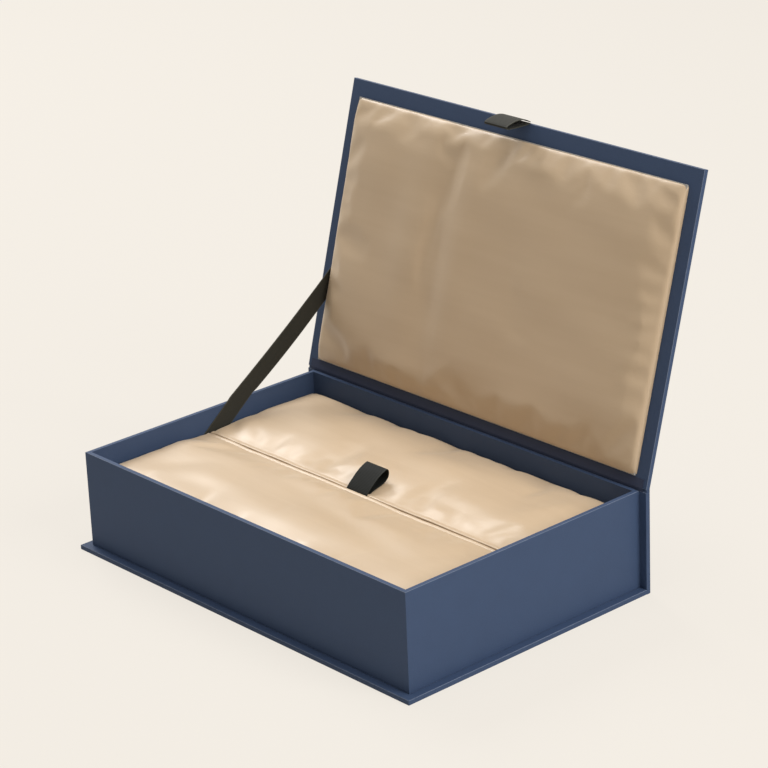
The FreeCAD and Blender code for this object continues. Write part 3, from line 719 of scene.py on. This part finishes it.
def roundedPlan(look, x, y, half):
    corner = look["corner"]
    overX, overY = abs(x) - (half.x - corner), abs(y) - (half.y - corner)
    if overX > 0 and overY > 0:
        pull = max(overX, overY) / math.hypot(overX, overY)
        x = math.copysign(half.x - corner + overX * pull, x)
        y = math.copysign(half.y - corner + overY * pull, y)
    return x, y


def padBlank(name, look, half, seamSide, folds, dice):
    # A closed block with the pad's crowned top, made about its own middle with its foot at z = 0.
    columns, rows = round(2 * half.x / cloth["cell"]), round(2 * half.y / cloth["cell"])
    piece = addGrid(name, columns, rows)
    for vertex in piece.data.vertices:
        x, y = evenedOut(vertex.co.x) * half.x, evenedOut(vertex.co.y) * half.y
        x, y = roundedPlan(look, x, y, half)
        nearEdge = min(half.x - abs(x), half.y - abs(y))
        z = padTop(look, x, y, half, seamSide, dice) + softFolds(look, x, y, half, dice)
        z += foldHeight(folds, x, y) * min(1, nearEdge / waves["foldRise"])
        x -= look["sideDraw"] * x / half.x * math.cos(math.pi * y / 2 / half.y)
        y -= look["sideDraw"] * y / half.y * math.cos(math.pi * x / 2 / half.x)
        vertex.co = (x, y, z)
    bpy.ops.object.mode_set(mode="EDIT")
    bpy.ops.mesh.select_mode(type="EDGE")
    bpy.ops.mesh.select_all(action="DESELECT")
    bpy.ops.mesh.select_non_manifold()
    bpy.ops.mesh.extrude_region_move()
    bpy.ops.transform.resize(value=(1, 1, 0), center_override=(0, 0, 0))
    bpy.ops.mesh.fill()
    bpy.ops.mesh.select_all(action="SELECT")
    bpy.ops.mesh.normals_make_consistent(inside=False)
    bpy.ops.object.mode_set(mode="OBJECT")
    return piece


def settle(piece, look, half, seamSide):
    # The satin swells and puckers as cloth, held at its foot and along the slit. It is simulated
    # larger than it is, at a size where the solver's defaults suit it, and no point may move past
    # the cap. Then all but its foot is smoothed a little.
    scale = cloth["scale"]
    piece.data.transform(Matrix.Scale(scale, 4))
    active(piece)
    remesh = piece.modifiers.new("even", "REMESH")
    remesh.mode = "VOXEL"
    remesh.voxel_size = look["voxel"] * scale
    bpy.ops.object.modifier_apply(modifier=remesh.name)
    before = [v.co.copy() for v in piece.data.vertices]
    held = piece.vertex_groups.new(name="held")
    foot = (look["board"] + look["voxel"]) * scale
    seam = (half.y - look["seamHold"]) * scale
    towardsSeam = {"front": -1, "rear": 1, None: 0}[seamSide]
    held.add([i for i, place in enumerate(before)
              if place.z < foot or place.y * towardsSeam > seam], 1.0, "REPLACE")
    weave = piece.modifiers.new("satin", "CLOTH")
    weave.settings.quality = cloth["quality"]
    weave.settings.use_pressure = True
    weave.settings.uniform_pressure_force = look["pressure"]
    weave.settings.vertex_group_mass = held.name
    weave.settings.shrink_min = -look["slack"]
    weave.settings.bending_stiffness = look["bending"]
    weave.settings.effector_weights.gravity = 0
    weave.collision_settings.use_collision = False
    weave.point_cache.frame_end = cloth["frames"]
    for step in range(1, cloth["frames"] + 1):
        bpy.context.scene.frame_set(step)
    bpy.ops.object.modifier_apply(modifier=weave.name)
    bpy.context.scene.frame_set(1)
    piece.vertex_groups.clear()
    moved = 0.0
    for vertex, old in zip(piece.data.vertices, before):
        shift = vertex.co - old
        moved = max(moved, shift.length)
        if shift.length > look["cap"] * scale:
            vertex.co = old + shift * (look["cap"] * scale / shift.length)
    piece.data.transform(Matrix.Scale(1 / scale, 4))
    bpy.ops.object.mode_set(mode="EDIT")
    bpy.ops.mesh.select_mode(type="VERT")
    bpy.ops.mesh.select_all(action="DESELECT")
    bpy.ops.object.mode_set(mode="OBJECT")
    for vertex in piece.data.vertices:
        vertex.select = vertex.co.z > look["board"] + look["satin"]
    bpy.ops.object.mode_set(mode="EDIT")
    bpy.ops.mesh.vertices_smooth(factor=cloth["calmFactor"], repeat=cloth["calmings"])
    bpy.ops.object.mode_set(mode="OBJECT")
    print("settled", piece.name, len(piece.data.vertices), "points, moved up to",
          round(moved / scale / mm, 2), "mm")


def turnIn(piece, look, half):
    # Opens the foot and folds the satin in under the panel, back out to the panel's edge, and up to
    # its upper side, where the pad is closed again.
    bpy.ops.object.mode_set(mode="EDIT")
    bpy.ops.mesh.select_all(action="SELECT")
    bpy.ops.mesh.bisect(plane_co=(0, 0, look["satin"]), plane_no=(0, 0, 1), clear_inner=True)
    bpy.ops.mesh.select_mode(type="EDGE")
    bpy.ops.mesh.select_all(action="DESELECT")
    bpy.ops.mesh.select_non_manifold()
    inX, inY = 1 - look["turnIn"] / half.x, 1 - look["turnIn"] / half.y
    edgeX, edgeY = 1 - look["satin"] / half.x, 1 - look["satin"] / half.y
    folds = ((-look["satin"], 1, 1), (0, inX, inY), (look["satin"], 1, 1),
             (0, edgeX / inX, edgeY / inY), (look["board"] - look["satin"], 1, 1))
    for shift, scaleX, scaleY in folds:
        bpy.ops.mesh.extrude_region_move(TRANSFORM_OT_translate={"value": (0, 0, shift)})
        if (scaleX, scaleY) != (1, 1):
            bpy.ops.transform.resize(value=(scaleX, scaleY, 1), center_override=(0, 0, 0))
    bpy.ops.mesh.fill()
    bpy.ops.mesh.select_all(action="SELECT")
    bpy.ops.mesh.normals_make_consistent(inside=False)
    bpy.ops.object.mode_set(mode="OBJECT")


def satinPad(name, look, low, high, placement, folds, seed, seamSide=None):
    half = (high - low) / 2 + Vector((look["proud"], look["proud"], 0))
    random.seed(seed)
    dice = [random.uniform(0, 2 * math.pi) for _ in range(cloth["dice"])]
    piece = padBlank(name, look, half, seamSide, folds, dice)
    settle(piece, look, half, seamSide)
    smoother = piece.modifiers.new("smoother", "SUBSURF")
    smoother.levels = smoother.render_levels = 1
    applyAll(piece)
    turnIn(piece, look, half)
    bpy.ops.object.shade_smooth_by_angle(angle=smoothAngle)
    middle = Matrix.Translation(((low.x + high.x) / 2, (low.y + high.y) / 2, low.z))
    piece.data.transform(placement @ middle)
    piece.data.update()
    return piece


hem = {
    # across the insert from the slit's middle, and up from the pad's surface, in millimetres
    "front": [(-3.4, -0.4), (-2.8, -0.1), (-2.2, 0.1), (-1.6, 0.2), (-1.1, 0.26), (-0.65, 0.2),
              (-0.38, -0.15), (-0.4, -1.2)],
    "rear": [(0.4, -1.2), (0.36, -0.3), (0.6, 0.15), (1.15, 0.3), (1.7, 0.28), (2.05, 0.16),
             (2.4, 0.28), (3.2, 0.2), (4.0, -0.3)],
    "sampleAt": 2.6 * mm,
    "step": 1.5 * mm,
    "rayFrom": 1,
    "evenOver": 2,
    "margin": 1.2 * mm,
    "thickness": 0.3 * mm,
    "stitchAt": 2.05,
    "stitchPitch": 2.2 * mm,
    "stitchSize": (0.72 * mm, 0.16 * mm, 0.12 * mm),
    "stitchTurn": math.radians(6),
    "stitchSegments": 8,
    "stitchRings": 5,
}


def surfaceUnder(pad, y, low, high, step):
    # Heights of the pad's upper side along x, evened out a little, as the hem bridges small puckers.
    tree = BVHTree.FromObject(pad, bpy.context.evaluated_depsgraph_get())
    count = round((high - low) / step)
    along = [low + (high - low) * i / count for i in range(count + 1)]
    heights = [tree.ray_cast(Vector((x, y, hem["rayFrom"])), Vector((0, 0, -1)))[0].z for x in along]
    places = []
    for i, x in enumerate(along):
        near = heights[max(0, i - hem["evenOver"]):i + hem["evenOver"] + 1]
        places.append((x, sum(near) / len(near)))
    return places


def makeHem(side, pad, seam):
    # The satin's folded edge along the slit, and on the rear pad the stitches that hold it.
    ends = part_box("front_satin")
    low, high = ends[0].x + hem["margin"], ends[1].x - hem["margin"]
    toPad = -1 if side == "front" else 1
    places = surfaceUnder(pad, seam + toPad * hem["sampleAt"], low, high, hem["step"])
    profile = hem[side]
    strip = addGrid(side + "Hem", len(places) - 1, len(profile) - 1)
    for vertex in strip.data.vertices:
        x, surface = places[round((vertex.co.x + 1) / 2 * (len(places) - 1))]
        y, z = profile[round((vertex.co.y + 1) / 2 * (len(profile) - 1))]
        vertex.co = (x, seam + y * mm, surface + z * mm)
    shell = strip.modifiers.new("thickness", "SOLIDIFY")
    shell.thickness = hem["thickness"]
    shell.offset = -1
    finer = strip.modifiers.new("finer", "SUBSURF")
    finer.levels = finer.render_levels = 1
    applyAll(strip)
    pieces = [strip]
    if side == "rear":
        bpy.ops.object.select_all(action="DESELECT")
        bpy.ops.mesh.primitive_uv_sphere_add(segments=hem["stitchSegments"],
                                             ring_count=hem["stitchRings"], radius=1)
        stitch = bpy.context.object
        stitch.data.transform(Matrix.Diagonal((*hem["stitchSize"], 1)))
        rise = dict(profile)[hem["stitchAt"]] * mm
        count = int((high - low) / hem["stitchPitch"])
        for i in range(count):
            x = low + (i + 0.5) * hem["stitchPitch"]
            surface = min(places, key=lambda place: abs(place[0] - x))[1]
            copy = bpy.data.objects.new("stitch", stitch.data.copy())
            bpy.context.scene.collection.objects.link(copy)
            place = Matrix.Translation((x, seam + hem["stitchAt"] * mm, surface + rise))
            copy.data.transform(place @ Matrix.Rotation(hem["stitchTurn"], 4, "Z"))
            pieces.append(copy)
        bpy.data.objects.remove(stitch)
    bpy.ops.object.select_all(action="DESELECT")
    for piece in pieces:
        piece.select_set(True)
    pad.select_set(True)
    bpy.context.view_layer.objects.active = pad
    bpy.ops.object.join()
    bpy.ops.object.shade_smooth_by_angle(angle=smoothAngle)


def slitMiddle():
    return (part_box("front_satin")[1].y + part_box("rear_satin")[0].y) / 2


def makePads():
    seam = slitMiddle()
    for name, seamSide, folds in (("front", "rear", frontFolds), ("rear", "front", rearFolds)):
        low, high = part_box(name + "_satin")
        pad = satinPad(name + "SatinPad", insertPads, Vector(low), Vector(high), Matrix(), folds,
                       padSeeds[name], seamSide)
        makeHem(name, pad, seam)
        dress(pad, "satin", "insert")
        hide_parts(name + "_satin", name + "_wadding")
    low, high = turnedBox("lid_pad_satin", onLid)
    pad = satinPad("lidSatinPad", lidPad, low, high, onLid, lidFolds, padSeeds["lid"])
    dress(pad, "satin", "lid")
    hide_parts("lid_pad_satin", "lid_pad_wadding")
    print("satin pads made")


# Ribbons

def ribbonStrip(name, route, look):
    # A flat ribbon. Each place of its route is a middle point and the direction across it. Its map
    # runs along it in millimetres, and across it from -1 to 1.
    piece = addGrid(name, len(route) - 1, look["columns"])
    layer = piece.data.uv_layers[0]
    lengths = [0.0]
    for (a, _), (b, _) in zip(route, route[1:]):
        lengths.append(lengths[-1] + (b - a).length)
    count = len(route) - 1
    where = {}
    for vertex in piece.data.vertices:
        i = round((vertex.co.x + 1) / 2 * count)
        across = vertex.co.y
        middle, side = route[i]
        where[vertex.index] = (lengths[i] / mm, across)
        vertex.co = middle + side * (across * look["width"] / 2)
    for loop in piece.data.loops:
        layer.data[loop.index].uv = where[loop.vertex_index]
    shell = piece.modifiers.new("thickness", "SOLIDIFY")
    shell.thickness = look["thickness"]
    shell.offset = 0
    applyAll(piece)
    bpy.ops.object.shade_smooth_by_angle(angle=smoothAngle)
    return piece


def smoothRoute(points, steps):
    # Points on a Catmull-Rom curve through given ones.
    ends = [points[0] * 2 - points[1], *points, points[-1] * 2 - points[-2]]
    route = []
    for a, b, c, d in zip(ends, ends[1:], ends[2:], ends[3:]):
        for i in range(steps):
            t = i / steps
            route.append(0.5 * (2 * b + (c - a) * t + (2 * a - 5 * b + 4 * c - d) * t * t
                                + (3 * b - a - 3 * c + d) * t ** 3))
    route.append(points[-1])
    return route


pullLoop = {
    "width": 15 * mm,
    "thickness": 0.35 * mm,
    "columns": 6,
    "steps": 6,
    # rearwards and up from the slit at the pads' upper edges, in millimetres
    "route": [(-0.25, -8.0), (-0.35, -4.0), (-0.2, -0.8), (2.9, 2.7), (8.6, 7.25), (12.4, 9.2),
              (14.8, 9.8), (15.6, 8.0), (15.0, 5.6), (13.1, 3.9), (9.9, 2.6), (6.2, 1.75), (2.6, 0.3),
              (0.35, -2.6), (0.25, -8.0)],
}
stayRibbon = {
    "width": 11 * mm,
    "thickness": 0.35 * mm,
    "columns": 4,
    "footSteps": 9,
    "lidSteps": 28,
    "footSlope": 39,
    "kneeY": 24.4 * mm,
    "kneeRise": 1.0 * mm,
    "topAlong": 49.0 * mm,
    "bendAhead": 15 * mm,
    "bowIn": 0.4 * mm,
    "bowDown": 0.7 * mm,
}
lidTab = {
    "width": 16 * mm,
    "thickness": 0.35 * mm,
    "columns": 6,
    "steps": 6,
    "rootRise": 0.35 * mm,
    # forward and up from the root at the lid's edge, in millimetres
    "route": [(0, 0.0), (5, -0.25), (11, 0.0), (15.6, 0.4), (16.8, 1.1), (16.2, 2.0), (13, 2.9), (8, 3.4),
              (3.6, 2.6), (0, 0.75)],
}


def makePullLoop():
    seam = slitMiddle()
    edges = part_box("front_satin")[0].z + insertPads["shoulder"] - insertPads["seamSink"]
    points = [Vector((0, seam + y * mm, edges + z * mm)) for y, z in pullLoop["route"]]
    route = [(p, Vector((1, 0, 0))) for p in smoothRoute(points, pullLoop["steps"])]
    piece = ribbonStrip("pullLoop", route, pullLoop)
    dress(piece, "loop_ribbon", "insert")
    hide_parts("pull_loop")
    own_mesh(piece)


def makeLidTab():
    low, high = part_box("lid_tab")
    root = Vector((0, high.y, low.z + lidTab["rootRise"]))
    points = [root + Vector((0, -y * mm, z * mm)) for y, z in lidTab["route"]]
    route = [(p, Vector((1, 0, 0))) for p in smoothRoute(points, lidTab["steps"])]
    piece = ribbonStrip("lidTab", route, lidTab)
    dress(piece, "tab_ribbon", "tab")
    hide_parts("lid_tab")


def makeStay():
    # Its two straight parts are cut off slantwise: along the rim at the knee, along the lid at the top.
    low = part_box("stay_ribbon")[0]
    face = low.x + stayRibbon["thickness"] / 2
    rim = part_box("tray_wrap")[1].z
    inner = turnedBox("lid_wrap", onLid)[1].z
    knee = Vector((face, stayRibbon["kneeY"], rim + stayRibbon["kneeRise"]))
    top = onLid @ Vector((face, stayRibbon["topAlong"], inner))
    down = math.radians(stayRibbon["footSlope"])
    foot = knee - Vector((0, math.cos(down), math.sin(down))) * ((knee.z - low.z) / math.sin(down))
    upLid = Vector((0, math.sin(openLean), math.cos(openLean)))
    level = Vector((0, -1, 0))
    route = []
    parts = ((foot, knee, stayRibbon["footSteps"], level, level),
             (knee, top, stayRibbon["lidSteps"], level, upLid))
    for start, end, count, firstCut, lastCut in parts:
        ahead = (end - start).normalized()
        across = Vector((0, -ahead.z, ahead.y))
        slants = [cut.dot(ahead) / cut.dot(across) for cut in (firstCut, lastCut)]
        for i in range(0 if end == knee else 1, count + 1):
            t = i / count
            bow = math.sin(math.pi * t) if end == top else 0.0
            sag = Vector((stayRibbon["bowIn"] * bow, 0.0, -stayRibbon["bowDown"] * bow))
            slant = slants[0] * (1 - t) + slants[1] * t
            route.append((start.lerp(end, t) + sag, across + ahead * slant))
    piece = ribbonStrip("stayRibbon", route, stayRibbon)
    dress(piece, "stay_ribbon")
    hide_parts("stay_ribbon")
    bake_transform(piece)


foldPaper = {
    "halfWidth": 124.8 * mm,
    # how far it reaches in past the papers' ends, and how far inside their two sides it lies
    "reach": 0.3 * mm,
    "outerInset": 0.12 * mm,
    "innerInset": 0.5 * mm,
    "cuts": 3,
}


def makeFoldPaper():
    # The covering paper's turned-in fold, which closes the slot between the spine and the open lid.
    spineLow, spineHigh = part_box("spine_wrap")
    lidThick = turnedBox("lid_wrap", onLid)[1].z
    spineTop = spineHigh.z - foldPaper["reach"]
    bpy.ops.object.select_all(action="DESELECT")
    bpy.ops.mesh.primitive_cube_add(size=2)
    piece = rename(bpy.context.object, "foldPaper")
    for vertex in piece.data.vertices:
        side = math.copysign(foldPaper["halfWidth"], vertex.co.x)
        outer = vertex.co.y > 0
        if vertex.co.z > 0:
            offLid = foldPaper["outerInset"] if outer else lidThick - foldPaper["innerInset"]
            vertex.co = onLid @ Vector((side, foldPaper["reach"], offLid))
        else:
            inset = -foldPaper["outerInset"] if outer else foldPaper["innerInset"]
            vertex.co = (side, (spineHigh.y if outer else spineLow.y) + inset, spineTop)
    bpy.ops.object.mode_set(mode="EDIT")
    bpy.ops.mesh.select_all(action="SELECT")
    bpy.ops.mesh.subdivide(number_cuts=foldPaper["cuts"])
    bpy.ops.object.mode_set(mode="OBJECT")
    dress(piece, "covering_paper")
    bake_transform(piece)


hingePapers = {
    # node: name, slot, and how much longer than the solid it is made
    "hinge_strip": ("hingeStrip", "covering_paper", 1.0),
    "hinge_lining": ("hingeLining", "lining_paper", 1.018),
}
mergeWithin = 0.01 * mm


def makeHingePapers():
    # The papers at the fold are copies of the CAD strips between the spine and the lid.
    for node, (name, slot, reach) in hingePapers.items():
        source = nodes[node]
        piece = bpy.data.objects.new(name, source.data.copy())
        bpy.context.scene.collection.objects.link(piece)
        piece.data.transform(Matrix.Diagonal((reach, 1, 1, 1)))
        active(piece)
        bpy.ops.object.mode_set(mode="EDIT")
        bpy.ops.mesh.select_all(action="SELECT")
        bpy.ops.mesh.remove_doubles(threshold=mergeWithin)
        bpy.ops.object.mode_set(mode="OBJECT")
        dress(piece, slot)
        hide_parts(node)
        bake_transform(piece)


def makeRibbons():
    makePullLoop()
    makeLidTab()
    makeStay()
    makeFoldPaper()
    makeHingePapers()
    print("ribbons and fold papers made")


makeCamera()
makeLights()
makeStage()
dressNodes()
makePads()
makeRibbons()
